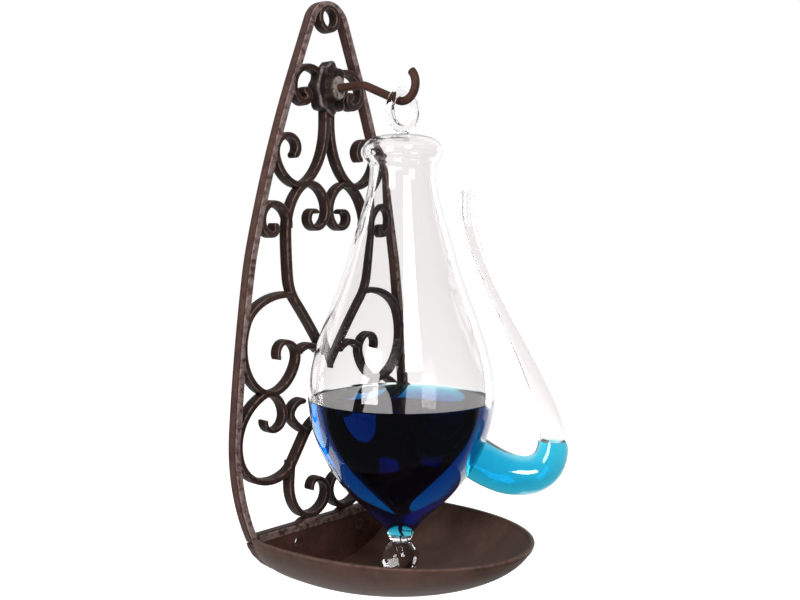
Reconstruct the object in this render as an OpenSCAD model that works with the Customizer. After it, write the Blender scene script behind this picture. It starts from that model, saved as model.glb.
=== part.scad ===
// Weather glass on a scrolled wall bracket.
// Millimetres, Z up. The wall is the plane y = 0 and the bracket stands out towards -Y.
// The origin lies on the wall, midway between the two wall screws.

/* [Arch and bars] */
// Height of the arch above the top of the cross bar
arch_h = 268; // [240:1:320]
// Width of the arch at its widest, outside the rails
arch_w = 126; // [115:1:150]
// Thickness of the rails, seen from the front
rail_t = 3.6; // [3:0.1:4.5]
// Thickness of the scroll bars, seen from the front
scroll_t = 3.4; // [2.8:0.1:4]
// Depth of the rails and scrolls, from the wall forwards
bar_d = 6; // [4:0.5:9]
// Radius of the hole in the crest ring
crest_hole_r = 4.5; // [3:0.1:5.5]
// Width of metal round that hole
crest_ring_t = 2.9; // [2:0.1:4]

/* [Cross bar, back plate and dish] */
// Height of the cross bar's top above the wall screws
bar_top = 9.5; // [8:0.5:14]
// Height of the cross bar
bar_h = 4; // [3:0.5:5]
// Thickness of the back plate under the cross bar
plate_t = 5.5; // [3:0.5:6]
// Distance between the two wall screws
screw_spacing = 44; // [38:1:60]
// Radius of the wall screw holes
screw_hole_r = 3; // [2:0.1:3.5]
// Reach of the dish out from the back plate
dish_reach = 122.5; // [110:0.5:140]
// Width of the dish at its widest
dish_w = 116; // [112:1:150]
// How far the widest place of the dish lies out from the back plate
dish_wide_at = 32; // [20:1:45]
// Depth of the dish below the cross bar's top
dish_depth = 30; // [26:0.5:38]
// Rise of the rim from the wall to the dish's nose
rim_rise = 5.5; // [0:0.5:8]
// Wall of the dish
dish_wall = 2.5; // [2:0.5:4]

/* [Rosette and hook] */
// Width of the rosette
rosette_w = 21; // [17:0.5:25]
// Height of the rosette
rosette_h = 27; // [22:0.5:32]
// How far the rosette's rim stands out in front of the bars
rosette_rise = 2.5; // [1:0.5:5]
// How far the rosette's heart stands out in front of its rim
heart_rise = 4.5; // [2:0.5:7]
// Diameter of the hook rod
rod_d = 4.2; // [3.5:0.1:5]
// Drop of the rod from the rosette to the place where the glass hangs
hook_drop = 10; // [7:0.5:13]
// Radius of the rod's turned-up end
hook_r = 8; // [7:0.5:10]

/* [Glass] */
// Diameter of the flask's belly
belly_d = 91.6; // [80:0.2:100]
// Space between the belly and the front of the scrolls
back_gap = 4.2; // [3:0.1:10]
// Diameter of the bulged collar
collar_d = 39; // [34:0.5:44]
// Diameter of the neck under the collar
neck_d = 31.6; // [27:0.2:36]
// Wall of the flask
glass_t = 1.5; // [1:0.1:2.2]
// Thickness of the hanging loop's glass
loop_glass_d = 4.4; // [3.5:0.1:5]
// Inner diameter of the hanging loop
loop_hole_d = 13.6; // [11:0.1:16]
// Play between the hanging loop and the rod that it hangs on
loop_play = 0.3; // [0.2:0.05:0.5]
// Diameter of the solid ball at the bottom
ball_d = 18.6; // [13:0.2:20]
// Space between that ball and the floor of the dish
ball_gap = 6.8; // [6:0.1:12]
// Turn of the spout away from straight forwards
spout_turn = 42; // [20:1:60]
// Reach of the spout's middle line out from the flask's axis
spout_reach = 76; // [72:1:86]
// Outer diameter of the spout at its mouth
mouth_d = 6.6; // [6:0.2:9]
// Wall of the spout
spout_wall = 1.2; // [0.8:0.1:1.5]
// Length of the straight mouth
mouth_len = 8; // [5:0.5:12]

/* [Water] */
// Height of the water in the flask above the wall screws
flask_level = 78; // [70:0.5:90]
// Height of the water in the spout above the wall screws
spout_level = 57.5; // [52:0.5:80]
// Clearance between the water and the glass
water_gap = 0.05; // [0.02:0.01:0.1]

/* [Hidden] */

iron = "#5c4038";
clear_glass = [0.86, 0.91, 0.93, 0.35];
blue_water = [0.05, 0.16, 0.62, 0.85];

turn_step = 6;
far = 400;

// The front drawing is laid out for these sizes and stretched to the ones above.
drawn_arch_h = 268;
drawn_arch_w = 126;
stretch_x = arch_w / drawn_arch_w;
stretch_z = arch_h / drawn_arch_h;

// The bars' middle lines, from the drawing of the right-hand half.
// Each is its start, its first heading, and its stretches: [length] is straight, and
// [radius at its start, radius at its end, turn in degrees] is an arc that eases. The last
// number is the width of the tip as a share of the bar's width.
apex_r = 14;
rail_line = [[0, drawn_arch_h - rail_t / 2], 0, [
    [apex_r - rail_t / 2, apex_r - rail_t / 2, -68.5],
    [29],
    [652, 652, -8.3],
    [148, 148, -4.4],
    [957, 957, -4.7],
    [111.5 - rail_t / 2, 111.5 - rail_t / 2, -31.5]], 1];
top_curl_line = [[3.58, 223.5], 88.5, [[1.4], [7.3, 11.4, -95.5], [10.8, 9.5, -93], [8.5, 4.6, -87],
    [3.4, 2.9, -90], [2.6, 2.4, -60]], 1];
lyre_line = [[scroll_t / 2 / stretch_x, 213], -90, [[6.4], [54, 13.5, 61.8], [6.4, 22.2, 102], [9.6, 5.4, 182.5], [5.3, 4.4, 61]], 1];
stem_line = [[-2.1, 79.8], 57, [[15.3], [300, 300, -5.4], [17.8, 27.4, 33.4], [300, 300, 3.3], [2.8],
    [42, 5.6, 77], [6.5, 16.5, 84.2], [13.2, 7.8, 85.7], [5.7, 4.9, 91.4], [5.1, 2.3, 146]], 0.7];
side_curl_line = [[27.5, 152.3], 98, [[11, 9.4, -98], [6, 9.9, -101], [7.7, 3.9, -88], [2.9, 2.6, -110]], 1];
great_line = [[24.8, 118.4], 6.7, [[42, 10.1, -74.7], [36.7, 21.1, -63.5], [21.9, 7.8, -61], [15, 24.9, -61],
    [8.6, 7.6, -104], [4.5, 6.7, -110]], 0.6];
link_line = [[21.1, 88.9], 137, [[10.2, 10.3, 88]], 1];
lower_line = [[-2, 57.4], -22.6, [[8.7], [26.4, 17.3, -34.6], [16.4], [13.5, 11.3, 32.2], [24.2, 16.8, 94],
    [22.6, 27.8, 88.4], [5.2, 15, 102], [7.9, 7, 100], [5.1, 5.3, 90]], 0.6];
sprout_line = [[14.3, 46.8], 20.5, [[30.8, 15.2, 35.8], [3.6, 4.9, 65.7], [9, 5.7, 63]], 1];
foot_line = [[25.8, 33.5], -85, [[10], [27.7, 12.5, -56.8], [12.5, 11.7, -65.5], [12.5, 8, -61.7],
    [8.7, 6.9, -86], [3.9, 4.1, -100]], 0.6];
taper_from = 0.65;
pad_x = 14.5;
pad_w = 12;

// Places that the pieces share.
rosette_z = bar_top + 223.5 * stretch_z;
rim_front = bar_d + rosette_rise;
reach = bar_d + back_gap + belly_d / 2;
rod_low_z = rosette_z - hook_drop;
dip = 22;
dip_r = 14;
end_lean = 45;
bend_ease = 0.03;
dip_len = (hook_drop - (dip_r + hook_r) * (1 - cos(dip))) / sin(dip);
shank_start = 3;
shank_len = reach - shank_start - (dip_r + hook_r) * sin(dip) - dip_len * cos(dip);
dish_low = bar_top - dish_depth;
dish_floor = dish_low + dish_wall;
flank = 0.7;
nose_w = 0.21;
bowl_turn = 84;
pivot_z = rod_low_z + rod_d / 2;

// Heights on the glass, stretched to hang from the hook and end above the dish.
loop_r = (loop_hole_d + loop_glass_d) / 2;
loop_z = pivot_z + loop_play - loop_hole_d / 2;
loop_stem_r = 3.2;
flask_top = loop_z - loop_r - loop_glass_d / 2 - 0.4;
ball_z = dish_floor + ball_gap + ball_d / 2;
ball_neck_r = 4.6;
drawn_flask_h = 199.5;
flask_low = ball_z + ball_d / 2 + 0.6;
glass_stretch = (flask_top - flask_low) / drawn_flask_h;
belly_r = belly_d / 2;
shoulder = belly_r / 45.8;

// The flask's outline from its top to its foot, as cubic curves. Each row is a radius and a
// height above the foot, and each curve takes four points and shares its last with the next.
flask_curves = [
    [loop_stem_r, 199.5], [13, 199.5], [collar_d / 2, 197], [collar_d / 2, 191],
    [collar_d / 2, 186.5], [neck_d / 2, 187], [neck_d / 2, 182.5],
    [neck_d / 2, 171.5], [22.5 * shoulder, 154.5], [26.6 * shoulder, 139],
    [33 * shoulder, 116.5], [belly_r, 96.5], [belly_r, 71.5],
    [belly_r, 56.5], [39.5 * shoulder, 41.5], [30.8 * shoulder, 29.5],
    [21.8 * shoulder, 17.5], [7.4, 8], [6.2, 1.5]];

// The spout's middle line from its mouth to the flask, as cubic curves in its own upright
// plane. Each row is a distance from the flask's axis, a height above its foot, and an
// outer radius.
swell = spout_reach - 76;
mouth_lip = 0.1;
neck_r = mouth_d / 2 - mouth_lip;
root_out = 36 * shoulder;
spout_curves = [
    [31.5, 164.5, neck_r], [31.5, 154, neck_r], [38, 137, neck_r], [47 + swell, 119, neck_r + 0.2],
    [53.5 + swell, 106, 3.9], [64 + swell, 86, 4.9], [71 + swell, 68.5, 6.1],
    [79 + swell, 48.5, 7.6], [76 + swell, 32, 8.7], [60 + swell, 32, 9.8],
    [53, 32, 10.3], [46, 34.8, 10.6], [root_out, 41.6, 10.8]];
mouth_z = flask_low + 164.5 * glass_stretch;

function bezier(c, t) = let (s = 1 - t)
    s * s * s * c[0] + 3 * s * s * t * c[1] + 3 * s * t * t * c[2] + t * t * t * c[3];
function curve_run(c, steps) = concat([c[0]], [
    for (k = [0:3:len(c) - 4], i = [1:steps])
        bezier([c[k], c[k + 1], c[k + 2], c[k + 3]], i / steps)]);

// One stretch of a middle line, stepped along short chords.
function stretch_points(p, h, s) = len(s) == 1
    ? [p + s[0] * [cos(h), sin(h)]]
    : let (n = max(2, ceil(abs(s[2]) / turn_step)), d = s[2] / n)
        [for (i = 0, q = p; i <= n;
            q = q + 2 * (s[0] + (s[1] - s[0]) * (i + 0.5) / n) * sin(abs(d) / 2)
                * [cos(h + d * (i + 0.5)), sin(h + d * (i + 0.5))],
            i = i + 1) if (i > 0) q];
function run(p, h, list, k) = k == len(list) ? [] :
    let (points = stretch_points(p, h, list[k]), turn = len(list[k]) == 1 ? 0 : list[k][2])
        concat(points, run(points[len(points) - 1], h + turn, list, k + 1));
function middle_line(line) = [for (q = concat([line[0]], run(line[0], line[1], line[2], 0)))
    [q[0] * stretch_x, bar_top + q[1] * stretch_z]];

// The direction of a list of points at one of them, and the list moved sideways.
function along(p, i) = let (v = p[min(i + 1, len(p) - 1)] - p[max(i - 1, 0)]) v / norm(v);
function beside(p, w) = [for (i = [0:len(p) - 1]) let (v = along(p, i)) p[i] + w * [-v[1], v[0]]];
function backwards(p) = [for (i = [len(p) - 1:-1:0]) p[i]];

// A bar's front outline: both sides of its middle line, slimmer near its round tip.
function slim(i, n, tip) = 1 - (1 - tip) * max(0, i / n - taper_from) / (1 - taper_from);
function edge(p, w, tip) = [for (i = [0:len(p) - 1])
    let (v = along(p, i)) p[i] + w * slim(i, len(p) - 1, tip) * [-v[1], v[0]]];
function bar_outline(p, t, tip) =
    let (n = len(p) - 1, v = along(p, n), a = atan2(v[1], v[0]))
        concat(edge(p, t / 2, tip),
            [for (b = [75:-15:-75]) p[n] + tip * t / 2 * [cos(a + b), sin(a + b)]],
            backwards(edge(p, -t / 2, tip)));

module upright(depth) {
    rotate([90, 0, 0])
        linear_extrude(depth)
            children();
}

// A scroll of the right-hand half, cut where it meets the rail, the rosette and the
// bracket's middle plane.
module bar(line) {
    upright(bar_d)
        difference() {
            intersection() {
                polygon(bar_outline(middle_line(line), scroll_t, line[3]));
                polygon(concat(inner_edge, [[0, bar_top - bar_h]]));
            }
            rosette_outline();
        }
}

module on_side(side) {
    mirror([side == "left" ? 1 : 0, 0, 0])
        children();
}

module rail(side) {
    on_side(side)
        upright(bar_d)
            intersection() {
                polygon(bar_outline(rail_points, rail_t, 1));
                translate([0, bar_top - bar_h])
                    square([far, far]);
            }
}

// The ring is cut where it meets the inner edges of the two rails.
module crest_ring() {
    ring_z = bar_top + arch_h - rail_t - crest_hole_r - 0.4;
    last = len(inner_edge) - 1;
    intersection() {
        translate([0, 0, ring_z])
            rotate([90, 0, 0])
                difference() {
                    cylinder(h = bar_d, r = crest_hole_r + crest_ring_t, $fn = 64);
                    translate([0, 0, -1])
                        cylinder(h = bar_d + 2, r = crest_hole_r, $fn = 64);
                }
        translate([0, 1, 0])
            upright(bar_d + 2)
                polygon(concat(inner_edge, [for (i = [last:-1:1]) [-inner_edge[i][0], inner_edge[i][1]]]));
    }
}

// A wavy rim and a smaller wavy heart, drilled for the hook's shank.
module rosette() {
    difference() {
        union() {
            upright(rim_front)
                rosette_outline();
            translate([0, -rim_front, rosette_z])
                upright(heart_rise)
                    wavy_oval(rosette_w * 0.24, rosette_h * 0.27, 8, 0.06);
        }
        translate([0, -shank_start, rosette_z])
            rotate([90, 0, 0])
                cylinder(h = rim_front + heart_rise, r = rod_d / 2, $fn = 48);
    }
}

module rosette_outline() {
    translate([0, rosette_z])
        wavy_oval(rosette_w / 2, rosette_h / 2, 8, 0.07);
}

module wavy_oval(half_w, half_h, waves, wave) {
    polygon([for (a = [0:5:355]) (1 + wave * cos(waves * a)) * [half_w * cos(a), half_h * sin(a)]]);
}

// The hook is one round rod: straight pieces and bends, each carried on from the last.
// The bends are a hair thinner and run a little way into the straight pieces.
hook_stretches = [[shank_len], [dip_r, -dip], [dip_len], [hook_r, dip + 90 + end_lean]];
bend_lap = 2;

module rod_run(k) {
    s = hook_stretches[k];
    bend = len(s) == 2;
    turn = bend ? s[1] : 0;
    if (bend)
        translate([sign(turn) * s[0], 0, 0])
            rotate([90, 0, turn < 0 ? 0 : 180])
                rotate([0, 0, -bend_lap])
                    rotate_extrude(angle = abs(turn) + 2 * bend_lap, $fn = 96)
                        translate([s[0], 0])
                            circle(r = rod_d / 2 - bend_ease, $fn = 48);
    else
        cylinder(h = s[0], r = rod_d / 2, $fn = 48);
    if (k + 1 < len(hook_stretches))
        translate(bend ? [sign(turn) * s[0] * (1 - cos(turn)), 0, s[0] * sin(abs(turn))] : [0, 0, s[0]])
            rotate([0, turn, 0])
                rod_run(k + 1);
}

module hook() {
    translate([0, -shank_start, rosette_z])
        rotate([90, 0, 0])
            rotate([0, 0, 90])
                rod_run(0);
}

// The dish's plan, from the right-hand corner round the nose to the left-hand one.
rail_points = middle_line(rail_line);
inner_edge = [for (q = beside(rail_points, -rail_t / 2)) [max(q[0], 0), q[1]]];
foot_points = middle_line(foot_line);
foot_low = min([for (q = foot_points) q[1]]);
corner_x = lookup(-bar_top, [for (q = rail_points) [-q[1], q[0]]]) + rail_t / 2;
function half_plan(inset) = curve_run([
    [corner_x - inset, 0], [corner_x + 4 - inset, -dish_wide_at * 0.3],
    [dish_w / 2 - inset, -dish_wide_at * 0.6], [dish_w / 2 - inset, -dish_wide_at],
    [dish_w / 2 - inset, -dish_wide_at - flank * (dish_reach - inset - dish_wide_at)],
    [dish_w * nose_w, inset - dish_reach], [0, inset - dish_reach]], 10);
function plan(inset) = let (h = half_plan(inset))
    concat(h, [for (i = [len(h) - 2:-1:0]) [-h[i][0], h[i][1]]]);
function bowl_height(k) = (1 - cos(asin(k * sin(bowl_turn)))) / (1 - cos(bowl_turn));
bowl_rows = [0.18, 0.36, 0.53, 0.68, 0.8, 0.9, 0.96, 1];
function rim_z(y) = bar_top - rim_rise * y / dish_reach;
function bowl_row(k, inset) = [for (q = plan(inset))
    [q[0] * k, q[1] * k - plate_t, dish_low + inset + (rim_z(q[1]) - dish_low - inset) * bowl_height(k)]];

// The dish is one closed skin: the outside, the inside, the rim and the two edges on the plate.
module drip_dish() {
    m = len(plan(0));
    n = len(bowl_rows);
    base = n * m;
    outer_pole = 2 * base;
    inner_pole = outer_pole + 1;
    points = concat(
        [for (k = bowl_rows) each bowl_row(k, 0)],
        [for (k = bowl_rows) each bowl_row(k, dish_wall)],
        [[0, -plate_t, dish_low], [0, -plate_t, dish_floor]]);
    outside = [for (j = [0:n - 2], i = [0:m - 2]) let (a = j * m + i) each [[a, a + 1, a + m + 1], [a, a + m + 1, a + m]]];
    inside = [for (f = outside) [f[2] + base, f[1] + base, f[0] + base]];
    poles = [for (i = [0:m - 2]) each [[outer_pole, i + 1, i], [inner_pole, base + i, base + i + 1]]];
    top = (n - 1) * m;
    rim = [for (i = [0:m - 2]) let (a = top + i)
        each [[a, a + 1, a + 1 + base], [a, a + 1 + base, a + base]]];
    edges = [for (j = [0:n - 2]) let (a = j * m, b = a + m - 1)
        each [[a, a + m, a + m + base], [a, a + m + base, a + base],
            [b + m, b, b + base], [b + m, b + base, b + m + base]]];
    feet = [[outer_pole, 0, base], [outer_pole, base, inner_pole],
        [m - 1, outer_pole, inner_pole], [m - 1, inner_pole, m - 1 + base]];
    color(iron)
        polyhedron(points, concat(outside, inside, poles, rim, edges, feet), convexity = 6);
}

// The back plate closes the dish at the wall and carries the two screws.
module back_plate() {
    side = [for (k = concat([0], bowl_rows)) [corner_x * k, dish_low + (bar_top - dish_low) * bowl_height(k)]];
    difference() {
        upright(plate_t)
            intersection() {
                polygon(concat(backwards([for (q = side) [-q[0], q[1]]]), [for (i = [1:len(side) - 1]) side[i]]));
                translate([-far / 2, dish_low - 1])
                    square([far, bar_top - bar_h - dish_low + 1]);
            }
        for (x = [-1, 1] * screw_spacing / 2)
            translate([x, 1, 0])
                rotate([90, 0, 0])
                    cylinder(h = plate_t + 2, r = screw_hole_r, $fn = 48);
    }
}

// The cross bar fills the space between the rails and carries a pad under each foot scroll.
module cross_bar() {
    upright(bar_d)
        difference() {
            union() {
                translate([-corner_x - 1, bar_top - bar_h])
                    square([2 * corner_x + 2, bar_h]);
                for (x = [-pad_x, pad_x])
                    translate([x - pad_w / 2, bar_top - 1])
                        square([pad_w, foot_low - bar_top + 1]);
            }
            for (side = [0, 1])
                mirror([side, 0])
                    polygon(concat(beside(rail_points, -rail_t / 2), [[far, -far], [far, far]]));
            for (side = [0, 1])
                mirror([side, 0])
                    polygon(bar_outline(rail_points, rail_t, 1));
            for (side = [0, 1])
                mirror([side, 0])
                    polygon(bar_outline(foot_points, scroll_t, foot_line[3]));
        }
}

flask_outside = [for (q = curve_run(flask_curves, 8)) [q[0], flask_low + q[1] * glass_stretch]];
flask_foot = flask_outside[len(flask_outside) - 1];

// The inside of the flask, a wall's thickness in from its outline.
function flask_inside(wall) =
    let (p = beside(flask_outside, -wall), last = len(p) - 1)
        concat([[0, p[0][1]]], p, [[0, p[last][1]]]);

module flask_body(points) {
    rotate_extrude($fn = 96)
        polygon(points);
}

module solid_flask() {
    flask_body(concat([[0, flask_top]], flask_outside, [[flask_foot[0], flask_low], [0, flask_low]]));
}

module flask() {
    difference() {
        solid_flask();
        flask_body(flask_inside(glass_t));
        spout_frame()
            translate([spout_line[root][0], 0, spout_line[root][1]])
                rotate([0, root_tilt, 0])
                    translate([0, 0, -12])
                        cylinder(h = 24, r = spout_line[root][2] - spout_wall, $fn = 64);
    }
}

module hanging_loop() {
    on_axis() {
        translate([0, 0, loop_z])
            rotate([90, 0, 0])
                rotate_extrude($fn = 96)
                    translate([loop_r, 0])
                        circle(r = loop_glass_d / 2, $fn = 48);
        translate([0, 0, flask_top])
            cylinder(h = loop_z - loop_r - flask_top, r = loop_stem_r, $fn = 48);
    }
}

module finial_ball() {
    on_axis() {
        translate([0, 0, ball_z])
            sphere(r = ball_d / 2, $fn = 64);
        translate([0, 0, ball_z])
            cylinder(h = flask_low - ball_z, r = ball_neck_r, $fn = 48);
    }
}

module on_axis() {
    translate([0, -reach, 0])
        children();
}

module spout_frame() {
    rotate([0, 0, spout_turn - 90])
        children();
}

spout_line = [for (q = curve_run(spout_curves, 9)) [q[0], flask_low + q[1] * glass_stretch, q[2]]];
root = len(spout_line) - 1;
root_dir = let (v = spout_line[root] - spout_line[root - 1]) [v[0], v[1]] / norm([v[0], v[1]]);
root_tilt = atan2(root_dir[0], root_dir[1]);
sides = 24;

// Rings of points round the spout's middle line, with one more before its mouth or not,
// and one running a little way into the flask. The first ring is level, as the mouth's foot is.
function spout_rings(inset, before, after) = [
    for (i = [before > 0 ? -1 : 0 : root + 1]) let (
        j = min(max(i, 0), root),
        v = i > root ? root_dir : j == 0 ? [0, -1] :
            let (w = spout_line[min(j + 1, root)] - spout_line[j - 1]) [w[0], w[1]] / norm([w[0], w[1]]),
        c = [spout_line[j][0], spout_line[j][1]] + (i > root ? after : i < 0 ? -before : 0) * v,
        r = spout_line[j][2] - inset)
        [for (k = [0:sides - 1]) let (a = 360 * k / sides)
            [c[0] - v[1] * r * cos(a), r * sin(a), c[1] + v[0] * r * cos(a)]]];

// A tube's faces from ring to ring. The first list of rings is its outside.
module tube(rings) {
    n = len(rings);
    faces = concat(
        [for (j = [0:n - 2], k = [0:sides - 1]) let (a = j * sides + k, b = j * sides + (k + 1) % sides)
            each [[a, b + sides, a + sides], [a, b, b + sides]]],
        [[for (k = [sides - 1:-1:0]) k], [for (k = [0:sides - 1]) (n - 1) * sides + k]]);
    polyhedron([for (ring = rings) each ring], faces, convexity = 6);
}

module spout() {
    on_axis()
        difference() {
            spout_frame()
                difference() {
                    tube(spout_rings(0, 0, 3));
                    tube(spout_rings(spout_wall, 1, 5));
                }
            solid_flask();
        }
}

// The straight end of the spout, where the water is filled in.
module spout_mouth() {
    on_axis()
        spout_frame()
            translate([spout_line[0][0], 0, mouth_z])
                difference() {
                    cylinder(h = mouth_len, r = mouth_d / 2, $fn = 48);
                    translate([0, 0, -1])
                        cylinder(h = mouth_len + 2, r = neck_r - spout_wall - mouth_lip, $fn = 48);
                }
}

module flask_water() {
    on_axis()
        intersection() {
            flask_body(flask_inside(glass_t + water_gap));
            translate([-far / 2, -far / 2, flask_level - far])
                cube(far);
        }
}

module spout_water() {
    on_axis()
        difference() {
            spout_frame()
                tube(spout_rings(spout_wall + water_gap, 0, 5));
            translate([-far / 2, -far / 2, spout_level])
                cube(far);
            flask_body(flask_inside(glass_t));
        }
}

color(iron) rail("left");  // rail_left
color(iron) rail("right");  // rail_right
color(iron) crest_ring();
color(iron) rosette();
color(iron) hook();
color(iron) on_side("left") bar(top_curl_line);  // top_curl_left
color(iron) on_side("right") bar(top_curl_line);  // top_curl_right
color(iron) on_side("left") bar(lyre_line);  // lyre_scroll_left
color(iron) on_side("right") bar(lyre_line);  // lyre_scroll_right
color(iron) on_side("left") bar(stem_line);  // stem_scroll_left
color(iron) on_side("right") bar(stem_line);  // stem_scroll_right
color(iron) on_side("left") bar(side_curl_line);  // side_curl_left
color(iron) on_side("right") bar(side_curl_line);  // side_curl_right
color(iron) on_side("left") bar(great_line);  // great_scroll_left
color(iron) on_side("right") bar(great_line);  // great_scroll_right
color(iron) on_side("left") bar(link_line);  // link_bar_left
color(iron) on_side("right") bar(link_line);  // link_bar_right
color(iron) on_side("left") bar(lower_line);  // lower_scroll_left
color(iron) on_side("right") bar(lower_line);  // lower_scroll_right
color(iron) on_side("left") bar(sprout_line);  // sprout_left
color(iron) on_side("right") bar(sprout_line);  // sprout_right
color(iron) on_side("left") bar(foot_line);  // foot_scroll_left
color(iron) on_side("right") bar(foot_line);  // foot_scroll_right
color(iron) cross_bar();
color(iron) back_plate();
drip_dish();
color(clear_glass) on_axis() flask();
color(clear_glass) hanging_loop();
color(clear_glass) spout();
color(clear_glass) spout_mouth();
color(clear_glass) finial_ball();
color(blue_water) flask_water();
color(blue_water) spout_water();
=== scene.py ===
# %% [markdown]
# # A weather glass on its scrolled wall bracket
#
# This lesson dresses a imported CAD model: a blown-glass weather glass with a spout, half full of
# blue water, hanging from a hook on a cast iron bracket with a drip dish. The CAD gives every
# piece its place and size in metres. Here each piece gets the rounded edges, the blown or cast
# surface and the material that it shows. The wall is the plane y = 0 and the glass hangs in
# front of it, towards -Y.

import bmesh
import bpy
import numpy as np
from mathutils import Matrix


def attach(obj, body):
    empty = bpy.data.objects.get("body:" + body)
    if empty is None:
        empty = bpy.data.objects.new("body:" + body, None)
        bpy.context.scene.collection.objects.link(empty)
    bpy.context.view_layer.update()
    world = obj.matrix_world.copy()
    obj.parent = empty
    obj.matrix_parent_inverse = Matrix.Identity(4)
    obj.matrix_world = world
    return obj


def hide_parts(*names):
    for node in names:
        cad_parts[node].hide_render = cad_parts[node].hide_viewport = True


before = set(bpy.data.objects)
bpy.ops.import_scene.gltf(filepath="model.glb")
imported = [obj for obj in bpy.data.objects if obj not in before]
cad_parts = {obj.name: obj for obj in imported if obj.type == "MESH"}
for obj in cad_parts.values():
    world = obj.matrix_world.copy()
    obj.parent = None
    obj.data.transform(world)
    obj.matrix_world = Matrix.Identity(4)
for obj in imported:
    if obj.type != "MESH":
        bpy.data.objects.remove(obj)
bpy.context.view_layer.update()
MM = 0.001
scene = bpy.context.scene

# %% [markdown]
# ## The measures
#
# The bracket is drawn from the front with a few measures and a turtle: a middle line is a start,
# a heading, and stretches that are either straight or arcs whose radius eases from one value to
# another. Keeping the same measures as the CAD means that every new surface lands on the node it
# stands for.

# %% The measures of the bracket and the glass, in millimetres
BAR_TOP, BAR_H = 9.5, 4.0
RAIL_T, SCROLL_T = 3.6, 3.4
ARCH_H, APEX_R = 268.0, 14.0
PLATE_T = 5.5
DISH_REACH, DISH_W, DISH_WIDE_AT = 122.5, 116.0, 32.0
DISH_DEPTH, RIM_RISE, DISH_WALL, BOWL_TURN = 30.0, 5.5, 2.5, 84.0
ROSETTE_W, ROSETTE_H = 21.0, 27.0
ROSETTE_Z = BAR_TOP + 223.5
REACH = 56.0
LOOP_Z, LOOP_R, LOOP_ROD_R = 218.6, 9.0, 2.2
FLASK_TOP, FLASK_LOW = 207.0, 8.0
GLASS_STRETCH = (FLASK_TOP - FLASK_LOW) / 199.5
GLASS_T, SPOUT_WALL = 1.5, 1.2
FLASK_LEVEL, SPOUT_LEVEL = 78.0, 57.5
SPOUT_TURN = np.radians(42.0 - 90.0)
FINE = 3.0

RAIL_LINE = ((0, ARCH_H - RAIL_T / 2), 0, (
    (APEX_R - RAIL_T / 2, APEX_R - RAIL_T / 2, -68.5), (29,), (652, 652, -8.3), (148, 148, -4.4),
    (957, 957, -4.7), (111.5 - RAIL_T / 2, 111.5 - RAIL_T / 2, -31.5)), 1)
SCROLLS = {
    "top_curl": ((3.58, 223.5), 88.5, ((1.4,), (7.3, 11.4, -95.5), (10.8, 9.5, -93), (8.5, 4.6, -87),
                 (3.4, 2.9, -90), (2.6, 2.4, -60)), 1.35),
    "lyre_scroll": ((1.7, 213), -90, ((6.4,), (54, 13.5, 61.8), (6.4, 22.2, 102), (9.6, 5.4, 182.5),
                    (5.3, 4.4, 61)), 1),
    "stem_scroll": ((-2.1, 79.8), 57, ((15.3,), (300, 300, -5.4), (17.8, 27.4, 33.4), (300, 300, 3.3),
                    (2.8,), (42, 5.6, 77), (6.5, 16.5, 84.2), (13.2, 7.8, 85.7), (5.7, 4.9, 91.4),
                    (5.1, 2.3, 146)), 0.7),
    "side_curl": ((27.5, 152.3), 98, ((11, 9.4, -98), (6, 9.9, -101), (7.7, 3.9, -88),
                  (2.9, 2.6, -110)), 1),
    "great_scroll": ((24.8, 118.4), 6.7, ((42, 10.1, -74.7), (36.7, 21.1, -63.5), (21.9, 7.8, -61),
                     (15, 24.9, -61), (8.6, 7.6, -104), (4.5, 6.7, -110)), 0.6),
    "link_bar": ((21.1, 88.9), 137, ((10.2, 10.3, 88),), 1),
    "lower_scroll": ((-2, 57.4), -22.6, ((8.7,), (26.4, 17.3, -34.6), (16.4,), (13.5, 11.3, 32.2),
                     (24.2, 16.8, 94), (22.6, 27.8, 88.4), (5.2, 15, 102), (7.9, 7, 100),
                     (5.1, 5.3, 90)), 0.6),
    "sprout": ((14.3, 46.8), 20.5, ((30.8, 15.2, 35.8), (3.6, 4.9, 65.7), (9, 5.7, 63)), 1),
    "foot_scroll": ((25.8, 33.5), -85, ((10,), (27.7, 12.5, -56.8), (12.5, 11.7, -65.5),
                    (12.5, 8, -61.7), (8.7, 6.9, -86), (3.9, 4.1, -100)), 0.6),
}
print("scrolls a side:", len(SCROLLS), "dish reach:", DISH_REACH, "mm")

# %% [markdown]
# ## Grids of points
#
# Every new surface is a grid: one number runs along it and the other across it. The faces of a
# grid follow from its size alone, so they are counted out once, as whole arrays. Each grid is
# closed across, like a tube, and its two ends can be capped.


# %% From a grid of points to a mesh
def grid_faces(rows, cols):
    """Quads of a grid that is closed across: corner (i, j) joins (i, j+1), (i+1, j+1) and (i+1, j)."""
    i = np.arange(rows - 1)[:, None]
    j = np.arange(cols)[None, :]
    k = (j + 1) % cols
    quads = np.stack([i * cols + j, i * cols + k, (i + 1) * cols + k, (i + 1) * cols + j], axis=-1)
    return quads.reshape(-1, 4)


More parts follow.
